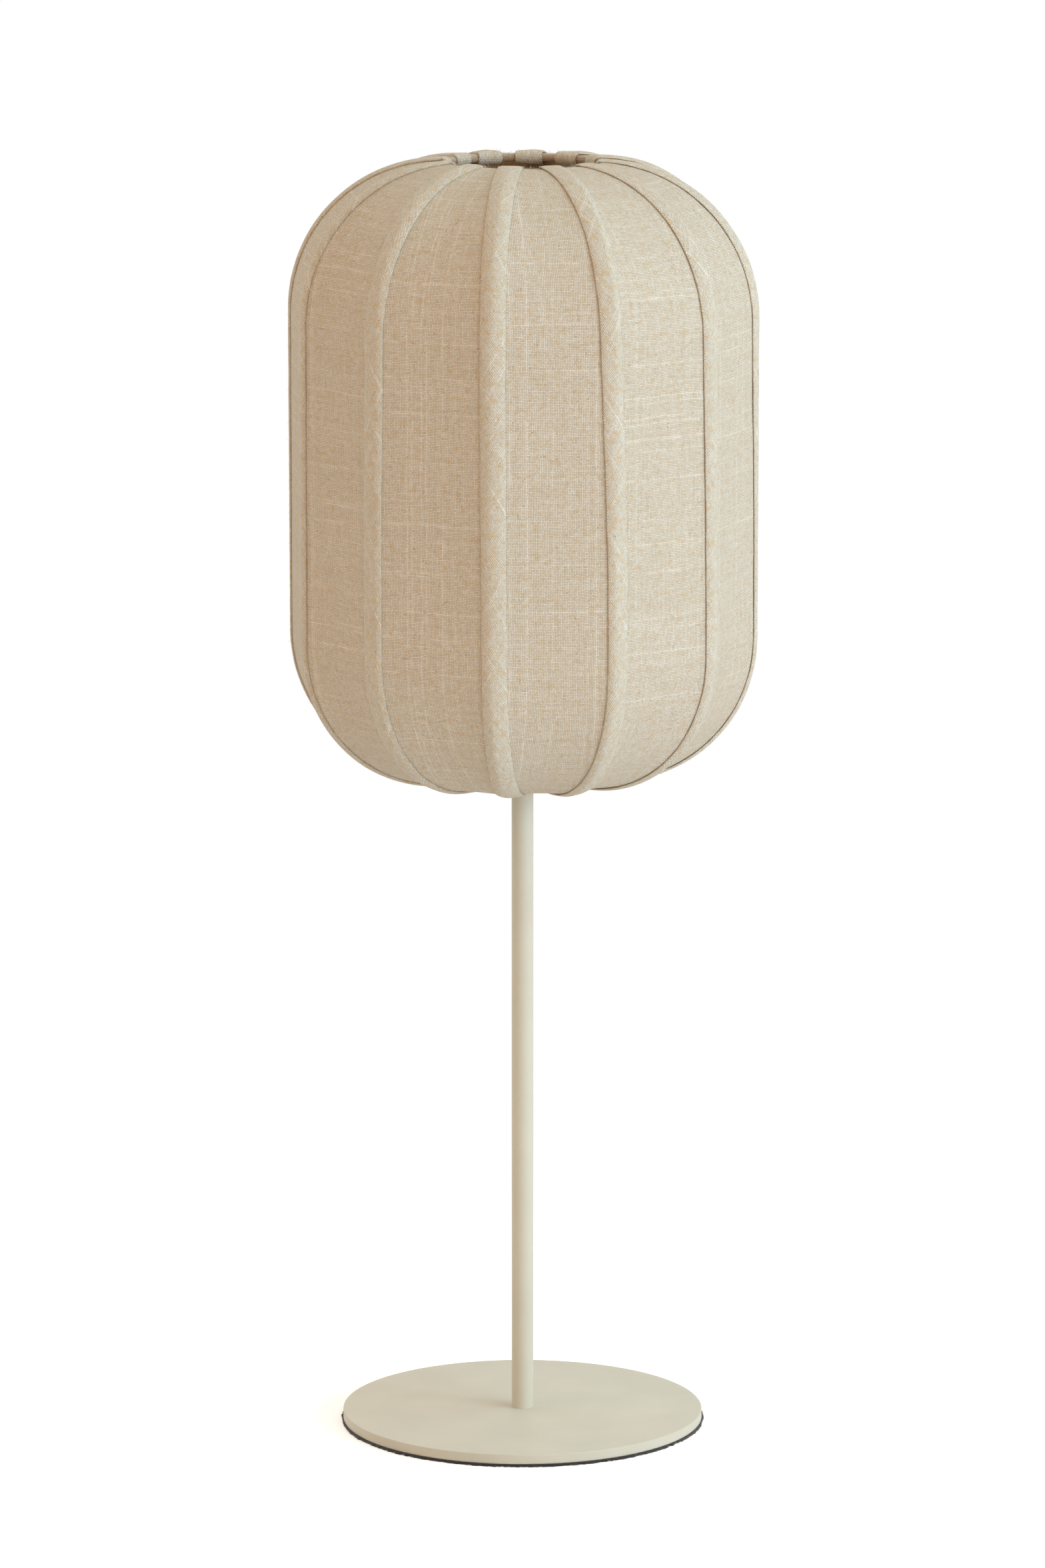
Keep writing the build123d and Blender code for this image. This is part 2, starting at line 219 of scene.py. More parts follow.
felt_pad = new_piece("felt_pad", *felt_disc(), felt_finish())
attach(felt_pad, "stand")
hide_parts("base_pad")


# A hollow threaded nipple, a washer and a hexagon nut clamp the foot to the stem from below, and
# another nipple joins the stem to the lampholder. They are zinc plated steel.

def plated_finish(name, colour, roughness):
    """Bright plated metal with a cloudy roughness and fine turning marks."""
    finish, tree = new_finish(name)
    place = object_place(tree)
    cloud = grain(tree, place, 350.0, 4.0)
    marks = add(tree, "ShaderNodeTexWave", {"Vector": place, "Scale": 900.0, "Distortion": 2.0},
                bands_direction="Z")
    tint = blend_colours(tree, cloud, tuple(c * 0.88 for c in colour), colour)
    rough = remap(tree, cloud, 0.3, 0.7, roughness - 0.07, roughness + 0.09)
    bump = add(tree, "ShaderNodeBump", {"Height": marks.outputs["Fac"], "Strength": 0.15,
                                        "Distance": 0.00004})
    metal = add(tree, "ShaderNodeBsdfPrincipled", {"Base Color": tint, "Metallic": 1.0,
                                                   "Roughness": rough, "Normal": bump.outputs["Normal"]})
    close_finish(tree, metal.outputs["BSDF"])
    return finish


zinc_plate = plated_finish("zinc_plate", (0.62, 0.63, 0.65), 0.32)
for node in ("foot_nipple", "foot_washer", "foot_nut", "stem_nipple", "holder_grub_screw"):
    dress(node, zinc_plate)


# The stem is a straight 12 mm steel tube, tapped at both ends and coated like the foot. Low at its
# back a moulded grommet lines the hole where the cord goes in.

dress("stem", cream_coat)
dress("cord_grommet", coated_finish("cream_moulding", (0.62, 0.56, 0.45), 0.5, 2600.0, 0.00002))


# The lampholder screws onto the stem: a cap, a core with its screw shell and contacts, and a skirt
# whose thread takes the shade's ring nut. The mouldings are white, the contacts rolled brass.

white_moulding = coated_finish("white_moulding", (0.80, 0.785, 0.74), 0.38, 1800.0, 0.00003, 0.02)
for node in ("holder_cap", "holder_core", "holder_skirt", "shade_nut"):
    dress(node, white_moulding)
rolled_brass = plated_finish("rolled_brass", (0.83, 0.62, 0.28), 0.28)
for node in ("terminal_screws", "centre_contact"):
    dress(node, rolled_brass)
rolled_metal = plated_finish("rolled_metal", (0.77, 0.77, 0.78), 0.25)
dress("screw_shell", rolled_metal)


# The lamp is an opal globe bulb. Its glass is satin white, its cap is rolled from thin metal, and
# a black glass bead keeps the button at the cap's foot apart from it.

def mix_surfaces(tree, share, first, second):
    """Two surfaces mixed by a share, where 1 is the second alone."""
    return add(tree, "ShaderNodeMixShader", {"Fac": share, 1: first, 2: second}).outputs["Shader"]


def opal_finish():
    """Satin opal glass that lets soft light through."""
    finish, tree = new_finish("opal_glass")
    cloud = grain(tree, object_place(tree), 60.0, 2.0)
    tint = blend_colours(tree, cloud, (0.86, 0.85, 0.81), (0.91, 0.90, 0.87))
    glass = add(tree, "ShaderNodeBsdfPrincipled", {"Base Color": tint, "Roughness": 0.22,
                                                   "Coat Weight": 0.3, "Coat Roughness": 0.1})
    through = add(tree, "ShaderNodeBsdfTranslucent", {"Color": tint})
    close_finish(tree, mix_surfaces(tree, 0.3, glass.outputs["BSDF"], through.outputs["BSDF"]))
    return finish


def bead_finish():
    """Black glazed glass."""
    finish, tree = new_finish("black_glass_bead")
    wavy = grain(tree, object_place(tree), 700.0, 2.0)
    tint = blend_colours(tree, wavy, (0.012, 0.012, 0.014), (0.03, 0.03, 0.034))
    bump = add(tree, "ShaderNodeBump", {"Height": wavy, "Strength": 0.3, "Distance": 0.0001})
    glass = add(tree, "ShaderNodeBsdfPrincipled", {"Base Color": tint, "Roughness": 0.12,
                                                   "Normal": bump.outputs["Normal"]})
    close_finish(tree, glass.outputs["BSDF"])
    return finish


dress("bulb_globe", opal_finish())
dress("bulb_insulator", bead_finish())
dress("bulb_contact", rolled_metal)


# The bulb's cap is a thin metal cup, rolled with the right-handed thread that screws into the shell. The
# thread stops below the glass tail that is cemented in at the top.

cap_low, cap_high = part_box("bulb_cap")
cap_radius = cap_high.x
cap_wall = 0.0004
cap_foot_radius = 0.0112
cap_shoulder_radius = 0.0120
cap_toe = 0.0005
thread_pitch = 0.00362
thread_depth = 0.0007
thread_low = cap_low.z + 0.0025
thread_high = cap_high.z - 0.0092
thread_fade = 0.0015
cap_sides = 72
cap_row_step = 0.0002
cap_bevel = 0.00008


def new_growth(name, *sizes):
    """A geometry tree with its input sizes, as its input node and its output node."""
    tree = bpy.data.node_groups.new(name, "GeometryNodeTree")
    tree.interface.new_socket("Guide", in_out="INPUT", socket_type="NodeSocketGeometry")
    for label, kind in sizes:
        tree.interface.new_socket(label, in_out="INPUT", socket_type=kind)
    tree.interface.new_socket("Grown", in_out="OUTPUT", socket_type="NodeSocketGeometry")
    return tree, add(tree, "NodeGroupInput").outputs


def grow(name, guide, tree, sizes):
    """Runs a tree on a guide mesh, and returns the result as a plain piece."""
    seed_piece = bpy.data.objects.new(name + "_guide", guide)
    bpy.context.scene.collection.objects.link(seed_piece)
    run = seed_piece.modifiers.new("grow", "NODES")
    run.node_group = tree
    named_inputs = [item for item in tree.interface.items_tree if item.in_out == "INPUT"]
    identifiers = {item.name: item.identifier for item in named_inputs}
    for label, value in sizes.items():
        run[identifiers[label]] = value
    bpy.context.view_layer.update()
    evaluated = seed_piece.evaluated_get(bpy.context.evaluated_depsgraph_get())
    data = bpy.data.meshes.new_from_object(evaluated)
    bpy.data.objects.remove(seed_piece)
    data.name = name
    piece = bpy.data.objects.new(name, data)
    bpy.context.scene.collection.objects.link(piece)
    return piece


def rolled_growth():
    """Turns a closed section round the middle, and rolls a thread in where its rolled attribute says."""
    tree, size = new_growth("rolled_growth", ("Rows", "NodeSocketInt"), ("Sides", "NodeSocketInt"),
                            ("Pitch", "NodeSocketFloat"), ("Depth", "NodeSocketFloat"),
                            ("Finish", "NodeSocketMaterial"))
    grid = add(tree, "GeometryNodeMeshGrid", {"Size X": 1.0, "Size Y": 1.0, "Vertices X": size["Sides"],
                                              "Vertices Y": size["Rows"]})
    here = add(tree, "GeometryNodeInputPosition").outputs["Position"]
    place = add(tree, "ShaderNodeSeparateXYZ", {"Vector": here})
    share = calc(tree, "ADD", place.outputs["Y"], 0.5)
    row = calc(tree, "ROUND", calc(tree, "MULTIPLY", share, calc(tree, "SUBTRACT", size["Rows"], 1.0)))
    turn = calc(tree, "MULTIPLY", calc(tree, "ADD", place.outputs["X"], 0.5), 2 * pi)
    spot = add(tree, "GeometryNodeSampleIndex", {"Geometry": size["Guide"]}, data_type="FLOAT_VECTOR")
    tree.links.new(here, spot.inputs["Value"])
    tree.links.new(row, spot.inputs["Index"])
    section = add(tree, "ShaderNodeSeparateXYZ", {"Vector": spot.outputs["Value"]})
    named = add(tree, "GeometryNodeInputNamedAttribute", {"Name": "rolled"}, data_type="FLOAT")
    how = add(tree, "GeometryNodeSampleIndex", {"Geometry": size["Guide"]}, data_type="FLOAT")
    tree.links.new(named.outputs["Attribute"], how.inputs["Value"])
    tree.links.new(row, how.inputs["Index"])
    full_turns = calc(tree, "MULTIPLY", section.outputs["Z"], 2 * pi)
    climb_turns = calc(tree, "DIVIDE", full_turns, size["Pitch"])
    wave = calc(tree, "COSINE", calc(tree, "SUBTRACT", climb_turns, turn))
    sunk = calc(tree, "MULTIPLY", calc(tree, "MULTIPLY_ADD", wave, 0.5, -0.5), size["Depth"])
    radius = calc(tree, "MULTIPLY_ADD", sunk, how.outputs["Value"], section.outputs["X"])
    x = calc(tree, "MULTIPLY", radius, calc(tree, "COSINE", turn))
    y = calc(tree, "MULTIPLY", radius, calc(tree, "SINE", turn))
    point = add(tree, "ShaderNodeCombineXYZ", {"X": x, "Y": y, "Z": section.outputs["Z"]})
    shaped = add(tree, "GeometryNodeSetPosition", {"Geometry": grid.outputs["Mesh"],
                                                   "Position": point.outputs["Vector"]})
    closed = add(tree, "GeometryNodeMergeByDistance", {"Geometry": shaped.outputs["Geometry"],
                                                       "Distance": 0.000001})
    smooth = add(tree, "GeometryNodeSetShadeSmooth", {"Geometry": closed.outputs["Geometry"]})
    real = add(tree, "GeometryNodeRealizeInstances", {"Geometry": smooth.outputs["Geometry"]})
    dressed = add(tree, "GeometryNodeSetMaterial", {"Geometry": real.outputs["Geometry"],
                                                    "Material": size["Finish"]})
    add(tree, "NodeGroupOutput", {"Grown": dressed.outputs["Geometry"]})
    return tree


def cap_section():
    """The cap's closed section, as radii, heights and how far each point takes the thread."""
    wall_heights = np.arange(cap_low.z + cap_toe + cap_bevel, cap_high.z - cap_bevel, cap_row_step)
    rolled = np.clip((wall_heights - thread_low) / thread_fade, 0, 1)
    rolled *= np.clip((thread_high - wall_heights) / thread_fade, 0, 1)
    inner = cap_radius - cap_wall
    points = [(cap_foot_radius, cap_low.z, 0), (cap_shoulder_radius, cap_low.z, 0),
              (cap_radius, cap_low.z + cap_toe, 0)]
    points += [(cap_radius, z, r) for z, r in zip(wall_heights, rolled)]
    points += [(cap_radius - cap_bevel, cap_high.z, 0), (inner + cap_bevel, cap_high.z, 0)]
    foot_inside = cap_low.z + 2 * cap_toe
    points += [(inner, z, r) for z, r in zip(wall_heights[::-1], rolled[::-1]) if z > foot_inside]
    points += [(cap_foot_radius, cap_low.z + cap_toe, 0), points[0]]
    return points


cap_points = cap_section()
cap_guide = bpy.data.meshes.new("cap_section")
cap_guide.from_pydata([(r, 0, float(z)) for r, z, taken in cap_points], [], [])
taken_in = cap_guide.attributes.new("rolled", "FLOAT", "POINT")
taken_in.data.foreach_set("value", np.array([taken for r, z, taken in cap_points], np.float32))
threaded_cap = grow("threaded_cap", cap_guide, rolled_growth(),
                    {"Rows": len(cap_points), "Sides": cap_sides + 1, "Pitch": thread_pitch,
                     "Depth": thread_depth, "Finish": rolled_metal})
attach(threaded_cap, "bulb")
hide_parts("bulb_cap")


# The shade's frame is steel wire, spot welded and dipped in white: two rings, twelve bent ribs,
# and a carrier ring on three arms that the ring nut clamps to the lampholder.

frame_white = coated_finish("frame_dip", (0.72, 0.70, 0.65), 0.45, 900.0, 0.00012, 0.03)
rib_count = 12
ribs = [f"frame_rib_{k + 1:02d}" for k in range(rib_count)]
for node in ("shade_fitter", "fitter_arms", "shade_top_ring", "shade_bottom_ring", *ribs):
    dress(node, frame_white)


# The cover is plain weave natural linen, cut in twelve panels. Each is pulled taut between two ribs,
# turned in over both wire rings and glued there. On the bends it draws in a little between the ribs.

first_rib = radians(-97.4)
half_turn = pi / rib_count
rib_wire = 0.0015
ring_overhang = 0.001
low_run = 0.003
cloth_gauge = 0.0006
cloth_clearance = 0.00005
cloth_middle = rib_wire + cloth_clearance + cloth_gauge / 2
seam_half_gap = 0.00025
draw_in = 0.0016
low_turn_in = radians(88)
high_turn_in = radians(165)
panel_columns = 25
panel_seed = 100

ring_low, ring_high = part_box("shade_bottom_ring")
ring_wire = (ring_high.z - ring_low.z) / 2
ring_radius = (ring_high.x - ring_low.x) / 2 - ring_wire
low_ring_height = (ring_high.z + ring_low.z) / 2
ring_low, ring_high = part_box("shade_top_ring")
high_ring_height = (ring_high.z + ring_low.z) / 2
ring_drop = ring_wire - rib_wire
low_rib_height = low_ring_height - ring_drop
high_rib_height = high_ring_height + ring_drop
rib_radius = max(hypot(v.co.x, v.co.y) for v in nodes[ribs[0]].data.vertices) - rib_wire
rib_end = ring_radius + ring_overhang
low_bend_centre = rib_end + low_run
low_bend = rib_radius - low_bend_centre
high_bend = rib_radius - rib_end

# Each row of the cloth goes once round the shade. It lies on a bend or the wall, where its middle is
# at centre + reach * cos(climb), or is turned in over a ring by turn_in. bend_pull is how much of the
# draw-in it takes.
squeeze = cos(half_turn)
wall = rib_radius * squeeze
low_climb = np.linspace(-pi / 2, 0, 52)
wall_levels = np.linspace(low_rib_height + low_bend, high_rib_height - high_bend, 44)[1:-1]
high_climb = np.linspace(0, pi / 2, 54)
low_turns = np.linspace(low_turn_in, 0, 9)
high_turns = np.linspace(0, high_turn_in, 14)


def row_values(low_turn, low, middle, high, high_turn):
    """One number for each row, in order from inside the bottom ring to inside the top ring."""
    sizes = (len(low_turns), len(low_climb), len(wall_levels), len(high_climb), len(high_turns))
    values = (low_turn, low, middle, high, high_turn)
    parts = [np.broadcast_to(value, size) for value, size in zip(values, sizes)]
    return np.concatenate(parts).astype(float)


climb = row_values(-pi / 2, low_climb, 0, high_climb, pi / 2)
centre = row_values(0, low_bend_centre * squeeze, low_bend_centre * squeeze, rib_end * squeeze, 0)
level = row_values(0, low_rib_height + low_bend, wall_levels, high_rib_height - high_bend, 0)
bend = row_values(0, low_bend, 0, high_bend, 0)
turn_in = row_values(low_turns, 0, 0, 0, high_turns)
end = row_values(-1, 0, 0, 0, 1)
bend_pull = np.where(end == 0, np.sin(2 * np.abs(climb)) ** 0.7, 0.0)
rows = len(climb)


def cloth_points(turn, across, lift):
    """Points on a panel: turn is its middle's angle, across its share of the half width, and lift is off
    the ribs' middle line. Both are arrays with a row for each row of the cloth."""
    climbs, centres, levels, bends, ends = (v[:, None] for v in (climb, centre, level, bend, end))
    turns_in = turn_in[:, None]
    out = centres + (wall + lift - centres) * np.cos(climbs)
    up = levels + (bends + lift) * np.sin(climbs)
    side = across * out * tan(half_turn)
    x_side = out * cos(turn) - side * sin(turn)
    y_side = out * sin(turn) + side * cos(turn)
    over = lift + ring_drop
    ring_height = np.where(ends > 0, high_ring_height, low_ring_height)
    radius = ring_radius - over * np.sin(turns_in)
    angle = turn + across * half_turn
    on_ring = ends != 0
    x = np.where(on_ring, radius * np.cos(angle), x_side)
    y = np.where(on_ring, radius * np.sin(angle), y_side)
    z = np.where(on_ring, ring_height + ends * over * np.cos(turns_in), up)
    return np.stack(np.broadcast_arrays(x, y, z), axis=-1)


def half_widths(lift):
    """From a panel's middle to its seam, in each row."""
    out = centre + (wall + lift - centre) * np.cos(climb)
    on_ring = (ring_radius - (lift + ring_drop) * np.sin(turn_in)) * half_turn
    return np.where(end == 0, out * tan(half_turn), on_ring)


def draw(across, along, seed):
    """How far a panel's cloth lies off its taut line: drawn in on the bends, with a slow ripple."""
    chance = np.random.default_rng(seed)
    bent = bend_pull[:, None]
    held = (1 - across ** 2) * np.where(end == 0, 1.0, 0.0)[:, None]
    ripple = np.zeros_like(across * bent)
    for length, height in ((0.11, 0.00022), (0.05, 0.00012), (0.023, 0.00006)):
        lean = chance.uniform(-0.8, 0.8)
        phase = chance.uniform(0, 2 * pi)
        ripple += height * np.sin(2 * pi * along[:, None] / length + lean * across * 3 + phase)
    edge_pull = np.exp(-((1 - np.abs(across)) / 0.16) ** 2) * held
    tug = np.sin(2 * pi * along[:, None] / 0.017 + chance.uniform(0, 6)) * edge_pull * 0.00012
    return -draw_in * bent * (1 - across ** 2) + ripple * held + tug


middle_line = cloth_points(0.0, np.zeros((rows, 1)), cloth_middle)[:, 0]
steps = np.linalg.norm(np.diff(middle_line, axis=0), axis=1)
along = np.concatenate([[0.0], np.cumsum(steps)])
cloth_length = along[-1]


def woven_piece(name, points, across_size, finish, shift, round_section=False):
    """A grid of points as a mesh, with the weave's place in metres as its UV map. shift is where in the
    cloth it was cut."""
    count = points.shape[1]
    faces = []
    weave = []
    columns = count if round_section else count - 1
    for i in range(len(points) - 1):
        for j in range(columns):
            after = (j + 1) % count
            faces.append((i * count + j, i * count + after, (i + 1) * count + after, (i + 1) * count + j))
            far = j + 1
            corners = ((i, j), (i, far), (i + 1, far), (i + 1, j))
            weave += [(across_size[a, b] + shift[0], along[a] + shift[1]) for a, b in corners]
    if round_section:
        last = (len(points) - 1) * count
        faces.append(tuple(range(count))[::-1])
        faces.append(tuple(last + j for j in range(count)))
        weave += [(across_size[0, j] + shift[0], along[0] + shift[1]) for j in range(count)][::-1]
        weave += [(across_size[-1, j] + shift[0], along[-1] + shift[1]) for j in range(count)]
    piece = new_piece(name, points.reshape(-1, 3), faces, finish)
    uv = piece.data.uv_layers.new(name="weave")
    uv.data.foreach_set("uv", np.array(weave, np.float32).ravel())
    return piece


def thread_nature(tree, count, run, seed):
    """What sets a thread apart, from its number and the distance along it: its tone, how far it is a
    thick pale slub, and how far it is stained."""
    number = calc(tree, "ADD", calc(tree, "FLOOR", count), seed)
    chance = add(tree, "ShaderNodeTexWhiteNoise", {"W": number}, noise_dimensions="1D").outputs["Color"]
    own = add(tree, "ShaderNodeSeparateColor", {"Color": chance})
    row = calc(tree, "MULTIPLY", number, 7.13)
    spot = add(tree, "ShaderNodeCombineXYZ", {"X": row, "Y": calc(tree, "DIVIDE", run, slub_length)})
    slow = grain(tree, spot.outputs["Vector"], 1.0, 2.0)
    tone = calc(tree, "MULTIPLY_ADD", own.outputs["Red"], 0.25, calc(tree, "MULTIPLY", slow, 0.75))
    thick = remap(tree, own.outputs["Green"], 0.90, 0.97, 0.0, 1.0)
    slub = calc(tree, "MULTIPLY", thick, remap(tree, slow, 0.32, 0.52, 0.3, 1.0))
    spot = add(tree, "ShaderNodeCombineXYZ", {"X": row, "Y": calc(tree, "DIVIDE", run, stain_length),
                                              "Z": 5.0})
    stain = remap(tree, grain(tree, spot.outputs["Vector"], 1.0, 1.0), 0.64, 0.76, 0.0, 1.0)
    return tone, slub, stain


def thread_height(tree, count, other, sign, slub):
    """How high a thread stands: round across, and over and under the threads that cross it."""
    inside = calc(tree, "MULTIPLY_ADD", calc(tree, "FRACT", count), 2.0, -1.0)
    round_top = calc(tree, "MULTIPLY", inside, inside)
    thinner = calc(tree, "MULTIPLY_ADD", slub, -0.4, 1.0)
    profile = calc(tree, "SUBTRACT", 1.0, calc(tree, "MULTIPLY", round_top, thinner))
    phase = calc(tree, "MULTIPLY", calc(tree, "ADD", other, calc(tree, "FLOOR", count)), pi)
    over = calc(tree, "MULTIPLY_ADD", calc(tree, "SINE", phase), 0.5 * sign, 0.5)
    on_top = calc(tree, "MAXIMUM", over, calc(tree, "MULTIPLY", slub, 0.55))
    return calc(tree, "MULTIPLY", profile, on_top)


def linen_finish(name, pitch_across, pitch_along, slant, gap_shade, dark, light, pale, weft_share, slub_share,
                 patch_share, relief_height, see_through):
    """Woven linen. slant is the angle of the threads from the piece's length, zero on straight grain.
    weft_share is how high the second set of threads stands, where 1 is as high as the first."""
    finish, tree = new_finish(name)
    uv = add(tree, "ShaderNodeUVMap", uv_map="weave").outputs["UV"]
    split = add(tree, "ShaderNodeSeparateXYZ", {"Vector": uv})
    u, v = split.outputs["X"], split.outputs["Y"]
    wander = add(tree, "ShaderNodeTexNoise", {"Vector": uv, "Scale": 38.0, "Detail": 2.0})
    drift = add(tree, "ShaderNodeSeparateColor", {"Color": wander.outputs["Color"]})
    u = calc(tree, "ADD", u, calc(tree, "MULTIPLY_ADD", drift.outputs["Red"], 0.0022, -0.0011))
    v = calc(tree, "ADD", v, calc(tree, "MULTIPLY_ADD", drift.outputs["Green"], 0.0022, -0.0011))
    if slant:
        far = calc(tree, "MULTIPLY", v, sin(slant))
        first = calc(tree, "MULTIPLY_ADD", u, cos(slant), far)
        second = calc(tree, "SUBTRACT", calc(tree, "MULTIPLY", u, cos(slant)), far)
    else:
        first, second = u, v
    warp = calc(tree, "DIVIDE", first, pitch_across)
    weft = calc(tree, "DIVIDE", second, pitch_along)
    warp_tone, warp_slub, warp_stain = thread_nature(tree, warp, second, 3.5)
    weft_tone, weft_slub, weft_stain = thread_nature(tree, weft, first, 91.5)
    warp_height = thread_height(tree, warp, weft, 1.0, warp_slub)
    weft_height = calc(tree, "MULTIPLY", thread_height(tree, weft, warp, -1.0, weft_slub), weft_share)
    height = calc(tree, "MAXIMUM", warp_height, weft_height)
    warp_on_top = calc(tree, "GREATER_THAN", warp_height, weft_height)

    def on_top(weft_value, warp_value):
        chosen = add(tree, "ShaderNodeMix", {"Factor": warp_on_top, "A": weft_value, "B": warp_value})
        return chosen.outputs[0]

    slub = calc(tree, "MULTIPLY", on_top(weft_slub, warp_slub), slub_share)
    cell = add(tree, "ShaderNodeCombineXYZ", {"X": calc(tree, "FLOOR", warp),
                                              "Y": calc(tree, "FLOOR", weft)})
    crossing = add(tree, "ShaderNodeTexWhiteNoise", {"Vector": cell.outputs["Vector"]}).outputs["Value"]
    thread_tone = calc(tree, "MULTIPLY", on_top(weft_tone, warp_tone), 0.71)
    tone = calc(tree, "MULTIPLY_ADD", crossing, 0.34, thread_tone)
    thread = blend_colours(tree, remap(tree, tone, 0.28, 0.78, 0.0, 1.0), dark, light)
    thread = blend_colours(tree, slub, thread, pale)
    thread = blend_colours(tree, calc(tree, "MULTIPLY", on_top(weft_stain, warp_stain), 0.6), thread,
                           stain_colour)
    # Painted shade: the low sides of the threads and the gaps between them are painted towards the gap
    # colour.
    tint = blend_colours(tree, remap(tree, height, 0.0, 0.55, 0.0, 1.0), gap_shade, thread)
    patch = grain(tree, uv, 260.0, 4.0, 0.65)
    tint = blend_colours(tree, remap(tree, patch, 0.50, 0.68, 0.0, patch_share), tint, patch_colour)
    nep = grain(tree, uv, 640.0, 2.0)
    tint = blend_colours(tree, remap(tree, nep, 0.69, 0.78, 0.0, 0.6), tint, nep_colour)
    # Painted shade: where the folded attribute is set, the cloth is painted towards the fold colour, the
    # brown of the shade under a tape's fold. On a panel it darkens the hem turned in over a ring.
    folded = add(tree, "ShaderNodeAttribute", attribute_name="folded").outputs["Fac"]
    tint = blend_colours(tree, folded, tint, fold_shade_colour)
    fuzz = grain(tree, uv, 3800.0, 2.0)
    thick = calc(tree, "MULTIPLY_ADD", slub, 0.35, height)
    relief = calc(tree, "ADD", thick, calc(tree, "MULTIPLY", fuzz, 0.3))
    bump = add(tree, "ShaderNodeBump", {"Height": relief, "Strength": 0.8, "Distance": relief_height})
    cloth = add(tree, "ShaderNodeBsdfPrincipled", {"Base Color": tint, "Roughness": 0.88,
                                                   "Specular IOR Level": 0.25, "Sheen Weight": 0.25,
                                                   "Sheen Roughness": 0.45,
                                                   "Sheen Tint": (1.0, 0.96, 0.9, 1.0),
                                                   "Normal": bump.outputs["Normal"]})
    glow = blend_colours(tree, 0.6, tint, glow_colour)
    through = add(tree, "ShaderNodeBsdfTranslucent", {"Color": glow, "Normal": bump.outputs["Normal"]})
    close_finish(tree, mix_surfaces(tree, see_through, cloth.outputs["BSDF"], through.outputs["BSDF"]))
    return finish


slub_length = 0.026
stain_length = 0.006
stain_colour = (0.52, 0.36, 0.19)
patch_colour = (0.72, 0.53, 0.27)
nep_colour = (0.36, 0.20, 0.09)
# The fold colour is painted shade: the brown under a tape's folds and in the gap at its lifted edge.
fold_shade_colour = (0.42, 0.24, 0.11)
glow_colour = (0.88, 0.50, 0.22)

linen = linen_finish("natural_linen", pitch_across=0.00093, pitch_along=0.00086, slant=0.0,
                     gap_shade=(0.20, 0.15, 0.085), dark=(0.76, 0.69, 0.55), light=(0.95, 0.93, 0.84),
                     pale=(0.98, 0.98, 0.94), weft_share=1.0, slub_share=0.4, patch_share=0.5,
                     relief_height=0.00029, see_through=0.24)

shares = np.sin(np.linspace(-pi / 2, pi / 2, panel_columns))
shares = 0.5 * shares + 0.5 * np.linspace(-1, 1, panel_columns)
panel_half = half_widths(cloth_middle)
# The hems turned in over the rings are painted darker towards the fold colour the further they turn in, up
# to half way.
hem_darkening = np.clip((turn_in - radians(25)) / radians(40), 0, 1) * 0.5
inset = 1 - seam_half_gap / panel_half
for k in range(rib_count):
    across = shares[None, :] * inset[:, None]
    lift = cloth_middle + draw(across, along, panel_seed + k)
    middle_turn = first_rib + half_turn + k * 2 * half_turn
    points = cloth_points(middle_turn, across, lift)
    name = f"linen_cover_{k + 1:02d}"
    panel = woven_piece(name, points, across * panel_half[:, None], linen, (0.3 * k + 0.05, 0.7 * k))
    hem = panel.data.attributes.new("folded", "FLOAT", "POINT")
    hem.data.foreach_set("value", np.repeat(hem_darkening, panel_columns).astype(np.float32))
    thickness = panel.modifiers.new("cloth", "SOLIDIFY")
    thickness.thickness = cloth_gauge
    thickness.offset = 0.0
    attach(panel, "shade")
    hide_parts(f"linen_panel_{k + 1:02d}")


# Each seam is covered by a strip of the same linen, cut on the bias and folded with both raw edges under,
# 11 to 15 mm wide. It is glued flat along the rib and over both rings, and drifts off the seam by hand.

tape_widths = (0.0140, 0.0119, 0.0116, 0.0120, 0.0124, 0.0143,
               0.0150, 0.0143, 0.0121, 0.0120, 0.0116, 0.0135)
tape_drifts = ((0.0016, 0.0010, 0.0003, -0.0009), (0.0024, 0.0022, -0.0027, -0.0018),
               (0.0021, 0.0014, -0.0016, -0.0020), (0.0030, 0.0031, -0.0018, 0.0004),
               (-0.0006, 0.0009, 0.0012, 0.0005), (0.0008, -0.0011, -0.0004, 0.0014),
               (0.0004, 0.0013, 0.0007, 0.0019), (-0.0012, 0.0002, 0.0010, 0.0022),
               (0.0009, -0.0006, -0.0013, -0.0003), (-0.0050, -0.0052, -0.0034, -0.0010),
               (-0.0030, -0.0032, -0.0028, -0.0008), (-0.0036, -0.0041, -0.0026, 0.0004))
drift_places = (0.12, 0.42, 0.72, 0.97)
tape_crown = 0.0015
tape_edge = 0.00115
tape_fold = 0.00042
tape_ridge = 0.0020
tape_columns = 19
tape_seed = 500
bare_low_rows = 12

cloth_outer = rib_wire + cloth_clearance + cloth_gauge


def slow_wave(chance, lengths, height):
    """A wandering line along the tape, from a few sine waves."""
    line = np.zeros(rows)
    for length in lengths:
        line += np.sin(2 * pi * along / length + chance.uniform(0, 2 * pi)) * chance.uniform(0.5, 1.0)
    return height * line / len(lengths)


def hand_drift(drifts):
    """How far the tape's middle lies off the seam in each row: a smooth line through its drifts."""
    line = np.interp(along / cloth_length, drift_places, drifts)
    reach = np.exp(-np.linspace(-2, 2, 31) ** 2)
    padded = np.pad(line, 15, mode="edge")
    return np.convolve(padded, reach / reach.sum(), mode="valid")


